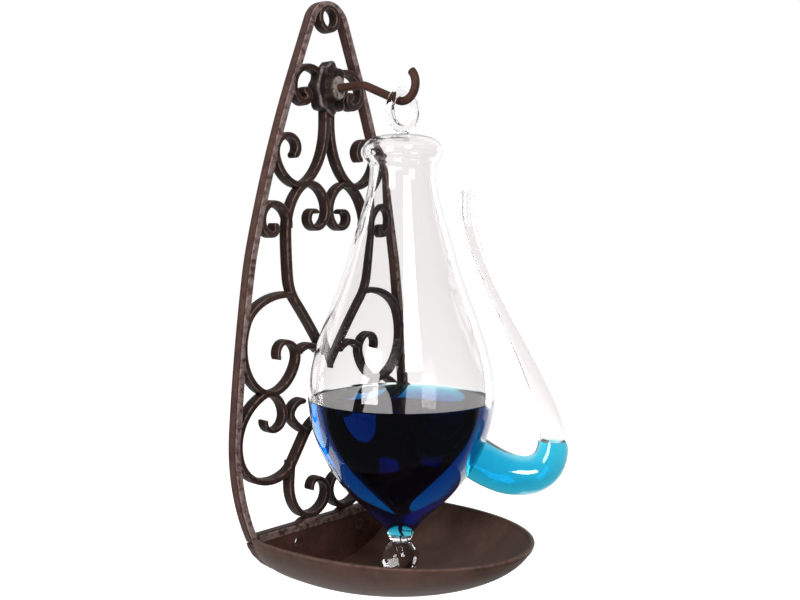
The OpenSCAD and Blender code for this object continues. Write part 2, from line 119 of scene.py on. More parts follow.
def make_piece(name, points, caps=True, crease=35.0, attributes=None, join=1e-6):
    """One piece from a grid (rows, cols, 3) in millimetres, its doubles merged and its faces turned out."""
    rows, cols = points.shape[:2]
    faces = grid_faces(rows, cols).tolist()
    if caps:
        faces += [list(range(cols))[::-1], list(range((rows - 1) * cols, rows * cols))]
    mesh = bpy.data.meshes.new(name)
    mesh.from_pydata((points.reshape(-1, 3) * MM).tolist(), [], faces)
    for key, values in (attributes or {}).items():
        layer = mesh.attributes.new(key, "FLOAT", "POINT")
        layer.data.foreach_set("value", np.ascontiguousarray(values, np.float32).ravel())
    work = bmesh.new()
    work.from_mesh(mesh)
    bmesh.ops.remove_doubles(work, verts=work.verts, dist=join)
    bmesh.ops.dissolve_degenerate(work, dist=join, edges=work.edges)
    bmesh.ops.recalc_face_normals(work, faces=work.faces)
    work.to_mesh(mesh)
    work.free()
    mesh.shade_smooth()
    mesh.set_sharp_from_angle(angle=np.radians(crease))
    piece = bpy.data.objects.new(name, mesh)
    scene.collection.objects.link(piece)
    return piece


def settle(piece, body, slot, material, *nodes):
    """The piece rides on its body, takes its material, and stands for the nodes; the slot is not used."""
    piece.data.materials.clear()
    piece.data.materials.append(material)
    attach(piece, body)
    if nodes:
        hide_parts(*nodes)
    return piece


print("quads of a 3 x 4 tube:", len(grid_faces(3, 4)))

# %% [markdown]
# ## Sand-cast iron
#
# The bracket is cast in sand and rubbed with a rust brown finish: its skin is grainy and mottled,
# and dust stays dull in the hollows. Grain and mottling are patterns in the metal itself, so they
# come from noise on Object coordinates. The arrises, and the front faces of the rails and the
# rosette, are painted lighter: partly rubbed wear, partly a painted highlight and sheen. That
# follows the bars, so each bar carries a number that is about 1 on its arrises and on those front
# faces, and 0 elsewhere.


# %% A helper for node trees
def add_node(tree, kind, values=None, **settings):
    """A node of that kind, with settings on it and values on its input sockets."""
    node = tree.nodes.new(kind)
    for key, value in settings.items():
        setattr(node, key, value)
    for key, value in (values or {}).items():
        node.inputs[key].default_value = value
    return node


def new_group(name, inputs, outputs):
    """An empty shader node group with named sockets: (name, kind, default)."""
    tree = bpy.data.node_groups.new(name, "ShaderNodeTree")
    for label, kind, value in inputs:
        socket = tree.interface.new_socket(label, in_out="INPUT", socket_type=kind)
        socket.default_value = value
    for label, kind in outputs:
        tree.interface.new_socket(label, in_out="OUTPUT", socket_type=kind)
    return tree, tree.nodes.new("NodeGroupInput"), tree.nodes.new("NodeGroupOutput")


# %% The cast skin, as a node group
def cast_skin_group():
    """Colour, roughness and bump height of the casting, from noise at three sizes and a mask of rubbed wear
    and painted highlight.
    """
    tree, given, out = new_group("cast skin", [
        ("Dark", "NodeSocketColor", (0.05, 0.03, 0.025, 1)),
        ("Brown", "NodeSocketColor", (0.1, 0.06, 0.05, 1)),
        ("Rubbed_and_highlight", "NodeSocketColor", (0.3, 0.22, 0.2, 1)),
        ("Wear_and_highlight", "NodeSocketFloat", 0.0),
        ("Grain size", "NodeSocketFloat", 1400.0)], [
        ("Color", "NodeSocketColor"), ("Roughness", "NodeSocketFloat"), ("Height", "NodeSocketFloat")])
    link = tree.links.new
    coords = add_node(tree, "ShaderNodeTexCoord")
    patches = add_node(tree, "ShaderNodeTexNoise", {"Scale": 85.0, "Detail": 4.0, "Roughness": 0.6})
    grain = add_node(tree, "ShaderNodeTexNoise", {"Detail": 3.0, "Roughness": 0.65})
    pits = add_node(tree, "ShaderNodeTexNoise", {"Scale": 420.0, "Detail": 2.0, "Roughness": 0.5})
    for noise in (patches, grain, pits):
        link(coords.outputs["Object"], noise.inputs["Vector"])
    link(given.outputs["Grain size"], grain.inputs["Scale"])
    spread = add_node(tree, "ShaderNodeMapRange", {"From Min": 0.3, "From Max": 0.7})
    link(patches.outputs["Fac"], spread.inputs["Value"])
    mottled = add_node(tree, "ShaderNodeMix", data_type="RGBA")
    link(spread.outputs["Result"], mottled.inputs["Factor"])
    link(given.outputs["Dark"], mottled.inputs["A"])
    link(given.outputs["Brown"], mottled.inputs["B"])
    speck = add_node(tree, "ShaderNodeMapRange", {"From Min": 0.56, "From Max": 0.8, "To Max": 0.4})
    link(grain.outputs["Fac"], speck.inputs["Value"])
    specked = add_node(tree, "ShaderNodeMix", data_type="RGBA")
    link(speck.outputs["Result"], specked.inputs["Factor"])
    link(mottled.outputs["Result"], specked.inputs["A"])
    link(given.outputs["Rubbed_and_highlight"], specked.inputs["B"])
    broken = add_node(tree, "ShaderNodeMapRange", {"From Min": 0.32, "From Max": 0.6})
    link(pits.outputs["Fac"], broken.inputs["Value"])
    worn_and_highlighted = add_node(tree, "ShaderNodeMath", operation="MULTIPLY", use_clamp=True)
    link(broken.outputs["Result"], worn_and_highlighted.inputs[0])
    link(given.outputs["Wear_and_highlight"], worn_and_highlighted.inputs[1])
    # The pale colour comes in by the mask: rubbed wear and a painted highlight on arrises and front faces.
    rubbed_and_highlight = add_node(tree, "ShaderNodeMix", data_type="RGBA")
    link(worn_and_highlighted.outputs["Value"], rubbed_and_highlight.inputs["Factor"])
    link(specked.outputs["Result"], rubbed_and_highlight.inputs["A"])
    link(given.outputs["Rubbed_and_highlight"], rubbed_and_highlight.inputs["B"])
    link(rubbed_and_highlight.outputs["Result"], out.inputs["Color"])
    rough = add_node(tree, "ShaderNodeMapRange", {"To Min": 0.48, "To Max": 0.72})
    link(patches.outputs["Fac"], rough.inputs["Value"])
    link(rough.outputs["Result"], out.inputs["Roughness"])
    height = add_node(tree, "ShaderNodeMath", operation="MULTIPLY_ADD")
    link(pits.outputs["Fac"], height.inputs[0])
    height.inputs[1].default_value = 0.8
    link(grain.outputs["Fac"], height.inputs[2])
    link(height.outputs["Value"], out.inputs["Height"])
    return tree


CAST_SKIN = cast_skin_group()


def iron_material(name, dark, brown, rubbed_and_highlight, worn_and_highlighted, bump):
    """Rust brown cast iron: the cast skin group on a Principled shader."""
    material = bpy.data.materials.new(name)
    material.use_nodes = True
    tree = material.node_tree
    shader = tree.nodes["Principled BSDF"]
    shader.inputs["Specular IOR Level"].default_value = 0.2
    skin = add_node(tree, "ShaderNodeGroup")
    skin.node_tree = CAST_SKIN
    for label, colour in (("Dark", dark), ("Brown", brown), ("Rubbed_and_highlight", rubbed_and_highlight)):
        skin.inputs[label].default_value = (*colour, 1)
    if worn_and_highlighted:
        wear_and_highlight = add_node(tree, "ShaderNodeAttribute", attribute_name="wear_and_highlight")
        tree.links.new(wear_and_highlight.outputs["Fac"], skin.inputs["Wear_and_highlight"])
    tree.links.new(skin.outputs["Color"], shader.inputs["Base Color"])
    tree.links.new(skin.outputs["Roughness"], shader.inputs["Roughness"])
    relief = add_node(tree, "ShaderNodeBump", {"Strength": bump, "Distance": 0.00025})
    tree.links.new(skin.outputs["Height"], relief.inputs["Height"])
    tree.links.new(relief.outputs["Normal"], shader.inputs["Normal"])
    return material


RAIL_IRON = iron_material("rail iron", dark=(0.038, 0.015, 0.012), brown=(0.088, 0.037, 0.029),
                          rubbed_and_highlight=(0.26, 0.195, 0.18), worn_and_highlighted=True, bump=0.6)
# The same iron painted much darker than the rails: painted shade of the scrolls, also used on the crest
# ring and the cross bar.
SHADED_BAR_IRON = iron_material("shaded bar iron", dark=(0.011, 0.0055, 0.0045), brown=(0.044, 0.020, 0.015),
                         rubbed_and_highlight=(0.21, 0.14, 0.12), worn_and_highlighted=True, bump=0.6)
DISH_IRON = iron_material("dish iron", dark=(0.052, 0.025, 0.018), brown=(0.094, 0.048, 0.036),
                          rubbed_and_highlight=(0.19, 0.12, 0.10), worn_and_highlighted=True, bump=0.35)
ROD_IRON = iron_material("rod iron", dark=(0.034, 0.013, 0.010), brown=(0.082, 0.033, 0.024),
                         rubbed_and_highlight=(0.20, 0.125, 0.10), worn_and_highlighted=False, bump=0.4)
ROSETTE_IRON = iron_material("rosette iron", dark=(0.009, 0.0055, 0.005), brown=(0.030, 0.017, 0.014),
                             rubbed_and_highlight=(0.29, 0.235, 0.215), worn_and_highlighted=True, bump=0.5)
print("cast skin nodes:", len(CAST_SKIN.nodes))

# %% [markdown]
# ## The bars
#
# A cast bar is not a sharp strip: the mould gives it a little draft, so it is narrower at the
# front, and its arrises are rounded. A profile carried along the middle line makes exactly that.
# The profile is a closed loop of points, each with a share of the bar's half width, a distance
# from the wall, and how much it is painted lighter: rubbed wear and a painted highlight together.


# %% The turtle's middle line and the bar swept along it
def turtle(line):
    """Points of a middle line: the chords of all stretches, added up from the start."""
    start, heading, stretches, _ = line
    lengths, headings = [], []
    for stretch in stretches:
        if len(stretch) == 1:
            pieces = max(2, int(stretch[0] / 2))
            lengths.append(np.full(pieces, stretch[0] / pieces))
            headings.append(np.full(pieces, heading, float))
            continue
        by_angle = int(np.ceil(abs(stretch[2]) / FINE))
        by_length = int(np.radians(abs(stretch[2])) * stretch[0] / 4)
        pieces = max(2, by_angle, by_length)
        turn = stretch[2] / pieces
        share = (np.arange(pieces) + 0.5) / pieces
        radius = stretch[0] + (stretch[1] - stretch[0]) * share
        lengths.append(2 * radius * np.sin(np.radians(abs(turn)) / 2))
        headings.append(heading + turn * (np.arange(pieces) + 0.5))
        heading += stretch[2]
    lengths, angles = np.concatenate(lengths), np.radians(np.concatenate(headings))
    steps = lengths[:, None] * np.stack([np.cos(angles), np.sin(angles)], axis=1)
    return np.concatenate([[start], np.array(start) + np.cumsum(steps, axis=0)]) + [0, BAR_TOP]


def across(points):
    """The unit direction square to a line of points, to its left, from central differences."""
    along = np.gradient(points, axis=0)
    along /= np.linalg.norm(along, axis=1, keepdims=True)
    return np.stack([-along[:, 1], along[:, 0]], axis=1)


TAPER_FROM = 0.72


def sweep_bar(points, profile, half_width, tip=1.0, round_tip=True):
    """A profile (side, depth, wear and painted highlight) carried along points in the wall plane, slimmer
    towards its end.
    """
    length = np.concatenate([[0], np.cumsum(np.linalg.norm(np.diff(points, axis=0), axis=1))])
    share = length / length[-1]
    width = half_width * (1 - (1 - tip) * np.clip(share - TAPER_FROM, 0, None) / (1 - TAPER_FROM))
    normal = across(points)
    if round_tip:
        ahead = points[-1] - points[-2]
        ahead /= np.linalg.norm(ahead)
        bend = np.radians(np.array([15, 30, 45, 58, 70, 80, 88.0]))
        points = np.concatenate([points, points[-1] + width[-1] * np.sin(bend)[:, None] * ahead])
        normal = np.concatenate([normal, np.repeat(normal[-1:], len(bend), axis=0)])
        width = np.concatenate([width, width[-1] * np.cos(bend)])
    side = profile[None, :, 0] * width[:, None]
    x = points[:, 0, None] + side * normal[:, 0, None]
    z = points[:, 1, None] + side * normal[:, 1, None]
    y = np.broadcast_to(-profile[None, :, 1], x.shape)
    wear_and_highlight = np.broadcast_to(profile[None, :, 2], x.shape)
    return np.stack([x, y, z], axis=-1), wear_and_highlight


# Third column: 0.8 to 0.9 over the front face and its arrises, rubbed wear and a painted sheen.
RAIL_PROFILE = np.array([
    (-0.92, 0.0, 0), (0.92, 0.0, 0), (1.0, 0.3, 0), (1.0, 2.6, 0.1), (1.0, 4.2, 0.1), (0.7, 4.45, 0),
    (0.7, 5.0, 0), (0.96, 5.3, 0.5), (0.92, 5.75, 0.9), (0.78, 5.97, 0.9), (0.3, 6.0, 0.8),
    (-0.3, 6.0, 0.8), (-0.78, 5.97, 0.9), (-0.92, 5.75, 0.9), (-0.96, 5.3, 0.5), (-0.7, 5.0, 0),
    (-0.7, 4.45, 0), (-1.0, 4.2, 0.1), (-1.0, 2.6, 0.1), (-1.0, 0.3, 0)])
# Third column: 0.7 on the front arrises, rubbed wear and a painted highlight line.
SCROLL_PROFILE = np.array([
    (-0.9, 0.0, 0), (0.9, 0.0, 0), (1.0, 0.3, 0), (1.0, 2.2, 0), (0.98, 4.2, 0), (0.93, 5.2, 0),
    (0.86, 5.65, 0.7), (0.74, 5.88, 0.7), (0.55, 5.97, 0.05), (0.2, 6.0, 0), (-0.2, 6.0, 0),
    (-0.55, 5.97, 0.05), (-0.74, 5.88, 0.7), (-0.86, 5.65, 0.7), (-0.93, 5.2, 0), (-0.98, 4.2, 0),
    (-1.0, 2.2, 0), (-1.0, 0.3, 0)])


def mirrored(points, side):
    """The left-hand half is the right-hand one with its x turned round."""
    return points * [-1 if side == "left" else 1, 1, 1]


# %% The two rails and the scrolls between them
def rail_piece(side):
    """A rail, cut off level at the cross bar's underside."""
    points = turtle(RAIL_LINE)
    grid, wear_and_highlight = sweep_bar(points, RAIL_PROFILE, RAIL_T / 2 - 0.03, round_tip=False)
    grid[..., 0] = np.maximum(grid[..., 0], 0)
    grid[..., 2] = np.maximum(grid[..., 2], BAR_TOP - BAR_H)
    piece = make_piece(f"arch_rail_{side}", mirrored(grid, side), attributes={"wear_and_highlight": wear_and_highlight})
    return settle(piece, "bracket", "iron", RAIL_IRON, f"rail_{side}")


def scroll_piece(kind, side):
    """A scroll of one half; its end may run a little into what it is cast on to."""
    line = SCROLLS[kind]
    grid, wear_and_highlight = sweep_bar(turtle(line), SCROLL_PROFILE, SCROLL_T / 2 - 0.02, tip=line[3])
    if kind in ("lyre_scroll", "stem_scroll", "lower_scroll", "foot_scroll", "top_curl"):
        grid[..., 0] = np.maximum(grid[..., 0], 0)
    piece = make_piece(f"cast_{kind}_{side}", mirrored(grid, side), attributes={"wear_and_highlight": wear_and_highlight})
    return settle(piece, "bracket", "iron", SHADED_BAR_IRON, f"{kind}_{side}")


for side in ("left", "right"):
    rail_piece(side)
    for kind in SCROLLS:
        scroll_piece(kind, side)
print("bars:", 2 * (1 + len(SCROLLS)))

# %% [markdown]
# ## Crest ring, cross bar and rosette
#
# The ring at the top is one more bar, carried round a circle. The cross bar is a short straight
# bar. The rosette is cast in two tiers with eight soft lobes, and its flat front is painted pale:
# partly rubbed wear, partly a painted highlight.
# A polar grid gives it: one number runs round it, the other from its middle over the front and
# down its side to the back.


# %% The crest ring and the cross bar
def crest_ring_piece():
    """A circle of radius hole + half the metal, with the bar's profile; the rails cover its top."""
    hole, metal = 4.5, 2.9
    turn = np.linspace(0, 2 * np.pi, 73)
    centre = BAR_TOP + ARCH_H - RAIL_T - hole - 0.4
    middle = hole + metal / 2
    side, depth, rubbed_and_highlight = SCROLL_PROFILE.T
    radius = middle + side[None, :] * (metal / 2 - 0.02)
    x = radius * np.sin(turn)[:, None]
    z = centre + radius * np.cos(turn)[:, None]
    inside = APEX_R - RAIL_T / 2
    top = BAR_TOP + ARCH_H - RAIL_T / 2 - inside
    far = np.maximum(1.0, np.hypot(x, z - top) / inside)
    x, z = x / far, top + (z - top) / far
    y = np.broadcast_to(-depth[None, :], x.shape)
    wear_and_highlight = np.broadcast_to(rubbed_and_highlight[None, :], x.shape)
    grid = np.stack([x, y, z], axis=-1)
    piece = make_piece("crest_eye", grid, caps=False, attributes={"wear_and_highlight": wear_and_highlight}, join=1e-5)
    return settle(piece, "bracket", "iron", SHADED_BAR_IRON, "crest_ring")


def cross_bar_piece():
    """A straight bar between the rails, with the profile of a rail, and a pad under each foot scroll."""
    rail = turtle(RAIL_LINE)
    half = np.interp(-(BAR_TOP - BAR_H / 2), -rail[:, 1], rail[:, 0])
    x = np.linspace(-half, half, 41)
    points = np.stack([x, np.full_like(x, BAR_TOP - BAR_H / 2)], axis=1)
    grid, wear_and_highlight = sweep_bar(points, RAIL_PROFILE, BAR_H / 2 - 0.02, round_tip=False)
    pad_x, pad_half, pad_h = 14.5, 6.0, 1.6
    lift = pad_h * np.clip(1 - ((np.abs(grid[..., 0]) - pad_x) / pad_half) ** 4, 0, 1)
    grid[..., 2] += np.where(grid[..., 2] > BAR_TOP - BAR_H / 2, lift, 0)
    piece = make_piece("cast_cross_bar", grid, attributes={"wear_and_highlight": wear_and_highlight})
    return settle(piece, "bracket", "iron", SHADED_BAR_IRON, "cross_bar")


crest_ring_piece()
cross_bar_piece()


# %% The rosette
# Third column: up to 1.4 on the flat front, rubbed wear and a painted pale highlight.
ROSETTE_PROFILE = np.array([
    (0.02, 12.7, 1.4), (0.2, 12.75, 1.4), (0.33, 12.8, 1.4), (0.40, 12.6, 1.2), (0.44, 12.1, 0.3),
    (0.46, 11.0, 0), (0.47, 9.4, 0), (0.49, 8.2, 0), (0.53, 7.6, 0), (0.62, 7.7, 0), (0.74, 8.1, 0),
    (0.86, 8.45, 0), (0.93, 8.3, 0.5), (0.97, 7.7, 0.6), (0.985, 6.6, 0), (0.985, 0.6, 0),
    (0.95, 0.0, 0), (0.02, 0.0, 0)])


def rosette_piece():
    """Polar grid: radius share, depth and the mask of wear and painted highlight from a profile, waved by
    the cosine of 8 turns.
    """
    turn = np.linspace(0, 2 * np.pi, 193)[:-1]
    share, depth, wear_and_highlight = ROSETTE_PROFILE.T
    wave = np.cos(8 * turn)[None, :]
    lobe = 0.07 * np.clip((share - 0.3) / 0.5, 0, 1)[:, None]
    groove = 0.9 * np.clip((share - 0.45) / 0.2, 0, 1)[:, None] * (depth > 6.7)[:, None]
    reach = share[:, None] * (1 + lobe * wave)
    x = reach * ROSETTE_W / 2 * np.cos(turn)
    z = ROSETTE_Z + reach * ROSETTE_H / 2 * np.sin(turn)
    y = -(depth[:, None] - groove * (0.5 - 0.5 * wave))
    wear_and_highlight_mask = np.broadcast_to(wear_and_highlight[:, None], x.shape)
    grid = np.stack([x, y, z], axis=-1)
    piece = make_piece("cast_rosette", grid, crease=50, attributes={"wear_and_highlight": wear_and_highlight_mask})
    return settle(piece, "bracket", "iron", ROSETTE_IRON, "rosette")


rosette_piece()

# %% [markdown]
# ## The drip dish
#
# The dish is half a shallow bowl with a pointed nose. In plan its rim is a pair of mirrored
# curves, and from the middle of the wall to the rim it rises along part of a circle. The grid
# runs round the plan and up the outside, over a rounded lip and down the inside again.


# %% Curves in plan
def bezier_run(corners, steps):
    """Cubic curves through every third corner: the four corners weighted by Bernstein's shares."""
    corners = np.asarray(corners, float)
    t = np.linspace(0, 1, steps + 1)[1:, None]
    weights = np.stack([(1 - t) ** 3, 3 * (1 - t) ** 2 * t, 3 * (1 - t) * t ** 2, t ** 3], axis=1)
    runs = [(weights * corners[None, k:k + 4]).sum(axis=1) for k in range(0, len(corners) - 3, 3)]
    return np.concatenate([corners[:1], *runs])


def dish_plan(inset):
    """Half the rim from the right-hand corner to the nose, and its mirror image back again."""
    rail = turtle(RAIL_LINE)
    corner = np.interp(-BAR_TOP, -rail[:, 1], rail[:, 0]) + RAIL_T / 2
    half = bezier_run([
        (corner - inset, 0), (corner + 4 - inset, -DISH_WIDE_AT * 0.3),
        (DISH_W / 2 - inset, -DISH_WIDE_AT * 0.6), (DISH_W / 2 - inset, -DISH_WIDE_AT),
        (DISH_W / 2 - inset, -DISH_WIDE_AT - 0.7 * (DISH_REACH - inset - DISH_WIDE_AT)),
        (DISH_W * 0.21, inset - DISH_REACH), (0, inset - DISH_REACH)], 32)
    return np.concatenate([half, half[-2::-1] * [-1, 1]])


def bowl_rise(share):
    """Height of the bowl, 0 to 1: a circle's arc of BOWL_TURN degrees."""
    full = np.radians(BOWL_TURN)
    return (1 - np.cos(np.arcsin(share * np.sin(full)))) / (1 - np.cos(full))


# %% The dish
def dish_rows(shares, inset, drop):
    """Rows of the bowl, in from its outside by inset, each lowered by drop."""
    plan = dish_plan(inset)[None, :, :]
    low = BAR_TOP - DISH_DEPTH + inset
    rim = BAR_TOP - RIM_RISE * plan[..., 1] / DISH_REACH
    k = shares[:, None]
    x, y = plan[..., 0] * k, plan[..., 1] * k - PLATE_T
    z = low + (rim - low) * bowl_rise(k) - drop[:, None]
    return np.stack([x, y, z], axis=-1)


TO_THE_RIM = 0.999
LIP_ROWS = ((0.18, 0.22), (0.6, 0.02), (DISH_WALL - 0.6, 0.02), (DISH_WALL - 0.18, 0.22))


def dish_piece():
    """Outside rows up to the lip, four rows (inset, drop) over the lip, and the inside rows down again."""
    up = np.sin(np.linspace(0.0, np.pi / 2, 30)) * TO_THE_RIM
    ease = np.where(up > 0.99, 0.7, 0.0)
    outside = dish_rows(up, 0.02, ease)
    rim = np.array([TO_THE_RIM])
    lip = np.concatenate([dish_rows(rim, inset, np.array([drop])) for inset, drop in LIP_ROWS])
    inside = dish_rows(up, DISH_WALL, ease)[::-1]
    grid = np.concatenate([outside, lip, inside]).transpose(1, 0, 2)
    wear_and_highlight = np.zeros(grid.shape[:2])
    wear_and_highlight[:, len(up) - 1:len(up) + 2] = [0.2, 0.5, 0.4]
    piece = make_piece("cast_drip_dish", grid, attributes={"wear_and_highlight": wear_and_highlight}, join=1e-5)
    return settle(piece, "bracket", "iron", DISH_IRON, "drip_dish")


dish_piece()
for name, material in (("hook", ROD_IRON), ("back_plate", ROD_IRON)):
    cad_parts[name].data.materials.clear()
    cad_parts[name].data.materials.append(material)

# %% [markdown]
# ## Glass and water
#
# The flask is blown, so it is a thin shell of revolution, clear with a faint warm tint. The
# water is dyed blue: thin layers of it look bright cyan and thick ones nearly black, which is
# what absorption along the light's path gives. The water is made a hair larger than the inside
# of the glass. Light then meets the two surfaces one straight after the other, and they bend it
# together as the one border between glass and water does, with no film of air between them.


# %% The two clear materials
def clear_material(name, colour, ior):
    """A smooth Principled shader with full transmission."""
    material = bpy.data.materials.new(name)
    material.use_nodes = True
    shader = material.node_tree.nodes["Principled BSDF"]
    shader.inputs["Base Color"].default_value = (*colour, 1)
    shader.inputs["Roughness"].default_value = 0.0
    shader.inputs["IOR"].default_value = ior
    shader.inputs["Transmission Weight"].default_value = 1.0
    return material


BLOWN_GLASS = clear_material("blown glass", (0.99, 0.975, 0.97), 1.47)
DYED_WATER = clear_material("dyed water", (1.0, 1.0, 1.0), 1.33)


def dye(material, red, green, blue):
    """Absorption of each colour, per metre of the light's path; red, the strongest, is the density."""
    tree = material.node_tree
    volume = add_node(tree, "ShaderNodeVolumeAbsorption", {
        "Color": (0.0, 1 - green / red, 1 - blue / red, 1), "Density": red})
    tree.links.new(volume.outputs["Volume"], tree.nodes["Material Output"].inputs["Volume"])


dye(DYED_WATER, 250.0, 54.0, 26.0)

# %% The flask's outline
FLASK_CURVES = [
    (3.2, 199.5), (13, 199.5), (19.5, 197), (19.5, 191), (19.5, 186.5), (15.8, 187), (15.8, 182.5),
    (15.8, 171.5), (22.5, 154.5), (26.6, 139), (33, 116.5), (45.8, 96.5), (45.8, 71.5),
    (45.8, 56.5), (39.5, 41.5), (30.8, 29.5), (21.8, 17.5), (7.4, 8), (6.2, 1.5)]
FLASK_OUTSIDE = bezier_run(FLASK_CURVES, 24) * [1, GLASS_STRETCH] + [0, FLASK_LOW]
FLASK_INSIDE = FLASK_OUTSIDE - GLASS_T * across(FLASK_OUTSIDE)
AXIS = np.array([0.0, -REACH, 0.0])


def flask_radius(height, inset=0.0):
    """The flask's radius at a height, less an inset, by interpolation on its outline."""
    line = FLASK_OUTSIDE[::-1]
    return np.interp(height, line[:, 1], line[:, 0]) - inset


def lathe(profile, sides=128):
    """A profile of radius and height, turned round the flask's axis."""
    turn = np.linspace(0, 2 * np.pi, sides + 1)[:-1]
    x = profile[:, 0, None] * np.cos(turn)
    y = profile[:, 0, None] * np.sin(turn)
    z = np.broadcast_to(profile[:, 1, None], x.shape)
    return np.stack([x, y, z], axis=-1) + AXIS


# %% The flask and its water
def flask_piece():
    """Outside from the top to the foot, and inside from the foot to the top, as one closed profile."""
    foot = FLASK_OUTSIDE[-1]
    outer_end = [(foot[0] - 0.3, FLASK_LOW + 0.2), (0, FLASK_LOW)]
    outside = np.concatenate([[(0, FLASK_TOP)], FLASK_OUTSIDE, outer_end])
    inner_low, inner_top = (0, FLASK_INSIDE[-1, 1] + 0.3), (0, FLASK_INSIDE[0, 1])
    inside = np.concatenate([[inner_low], FLASK_INSIDE[::-1], [inner_top]])
    outer = make_piece("blown_flask", lathe(outside), caps=False, crease=60)
    inner = make_piece("flask_hollow", lathe(inside), caps=False, crease=60)
    work = bmesh.new()
    work.from_mesh(outer.data)
    keep = len(work.faces)
    work.from_mesh(inner.data)
    work.faces.ensure_lookup_table()
    bmesh.ops.reverse_faces(work, faces=work.faces[keep:])
    work.to_mesh(outer.data)
    work.free()
    outer.data.shade_smooth()
    bpy.data.objects.remove(inner)
    return settle(outer, "glass", "glass", BLOWN_GLASS, "flask")


def flask_water_piece():
    """The inside's outline grown by 0.12 mm, up to the level, with a film that climbs the wall a little."""
    line = FLASK_INSIDE[::-1] + 0.12 * across(FLASK_INSIDE)[::-1]
    wet = line[line[:, 1] < FLASK_LEVEL + 0.8]
    edge = wet[-1, 0]
    rise = np.array([1.0, 0.45, 0.15, 0.03, 0.0, 0.0])
    back = np.array([0.0, 0.5, 1.2, 2.2, 4.0, edge])
    top = np.stack([edge - back, FLASK_LEVEL + rise], axis=1)
    profile = np.concatenate([[(0, wet[0, 1] - 0.1)], wet, top])
    piece = make_piece("flask_dyed_water", lathe(profile), caps=False, crease=60)
    return settle(piece, "glass", "water", DYED_WATER, "flask_water")


flask_piece()
flask_water_piece()

# %% [markdown]
# ## The spout
#
# The spout is a tube drawn out of the flask's side: wide where it leaves the belly, turned up in
# a bend, and narrowing to an open mouth. Rings of points are carried along its middle line, and
# each line of points along the tube is then followed to where it meets the flask's wall or the
# water's level, so that the ends fit without a cut.

# %% Rings along the spout
SPOUT_CURVES = [
    (31.5, 172.5, 3.3), (31.5, 170, 3.3), (31.5, 167.2, 3.3), (31.5, 164.5, 3.25),
    (31.5, 154, 3.2), (38, 137, 3.2), (47, 119, 3.4), (53.5, 106, 3.9), (64, 86, 4.9), (71, 68.5, 6.1),
    (79, 48.5, 7.6), (76, 32, 8.7), (60, 32, 9.8), (53, 32, 10.3), (46, 34.8, 10.6), (36, 41.6, 10.8)]
SPOUT_STEPS, SPOUT_SIDES = 30, 144


def spout_rings(inset):
    """Rings (rows, sides, 3) square to the middle line, in the spout's plane turned to its side."""
    line = bezier_run(SPOUT_CURVES, SPOUT_STEPS)
    last = line[-1] - line[-2]
    into = line[-1] + np.arange(1, 9)[:, None] * [last[0], last[1], 0] / np.hypot(*last[:2]) * 1.5
    line = np.concatenate([line, into])
    height = FLASK_LOW + line[:, 1] * GLASS_STRETCH
    middle = np.stack([line[:, 0], height], axis=1)
    normal = across(middle)
    radius = line[:, 2, None] - inset
    turn = np.linspace(0, 2 * np.pi, SPOUT_SIDES + 1)[:-1]
    out = middle[:, 0, None] + normal[:, 0, None] * radius * np.cos(turn)
    up = middle[:, 1, None] + normal[:, 1, None] * radius * np.cos(turn)
    side = np.broadcast_to(radius * np.sin(turn), out.shape)
    x = out * np.cos(SPOUT_TURN) - side * np.sin(SPOUT_TURN)
    y = out * np.sin(SPOUT_TURN) + side * np.cos(SPOUT_TURN)
    return np.stack([x, y, up], axis=-1)


def follow(rings, row):
    """Points on each line along the tube at fractional rows (rows, sides), by straight interpolation."""
    low = np.clip(np.floor(row).astype(int), 0, len(rings) - 2)
    part = (row - low)[..., None]
    column = np.broadcast_to(np.arange(rings.shape[1]), row.shape)
    return rings[low, column] * (1 - part) + rings[low + 1, column] * part


def first_row(values, level, start):
    """Fractional row, after start, where each line's values fall to the level."""
    below = values[start:] <= level
    hit = start + np.argmax(below, axis=0)
    column = np.arange(values.shape[1])
    high, low = values[hit - 1, column], values[hit, column]
    return hit - 1 + (high - level) / (high - low)


def wall_row(rings, inset):
    """Fractional row where each line comes within the flask's wall, less an inset."""
    gap = np.hypot(rings[..., 0], rings[..., 1]) - flask_radius(rings[..., 2], inset)
    return first_row(gap, 0.0, 4 * SPOUT_STEPS)


# %% The spout's glass
def spout_piece():
    """Outside and inside are followed to the middle of the flask's wall; the mouth has a round lip."""
    outer, inner = spout_rings(0.0), spout_rings(SPOUT_WALL)
    share = np.linspace(0, 1, 240)[:, None]
    outside = follow(outer, share * wall_row(outer, 0.9)[None, :])
    inside = follow(inner, share * wall_row(inner, 0.9)[None, :])
    centre = outer[0].mean(axis=0)
    lip = np.stack([centre + (outer[0] - centre) * k for k in (0.94, 0.82, 0.70)])
    outside[0, :, 2] -= 0.3
    inside[0, :, 2] -= 0.3
    grid = np.concatenate([inside[::-1], lip[::-1], outside])
    grid = np.concatenate([grid, grid[:1]])
    piece = make_piece("drawn_spout", grid + AXIS, caps=False, crease=60)
    return settle(piece, "glass", "glass", BLOWN_GLASS, "spout", "spout_mouth")


def spout_water_piece():
    """The inside grown by 0.1 mm, from the level in the spout to the flask's wall."""
    rings = spout_rings(SPOUT_WALL - 0.1)
    share = np.linspace(0, 1, 70)[:, None]
    top = first_row(rings[..., 2], SPOUT_LEVEL, 2 * SPOUT_STEPS)
    end = wall_row(rings, 1.0)
    grid = follow(rings, top[None, :] + share * (end - top)[None, :])
    centre = grid[0].mean(axis=0)
    surface = np.stack([centre + (grid[0] - centre) * k for k in (0.05, 0.5, 0.8, 0.93)])
    surface[..., 2] -= np.array([0.7, 0.65, 0.5, 0.25])[:, None]
    grid = np.concatenate([surface, grid])
    piece = make_piece("spout_dyed_water", grid + AXIS, crease=60)
    return settle(piece, "glass", "water", DYED_WATER, "spout_water")


spout_piece()
spout_water_piece()

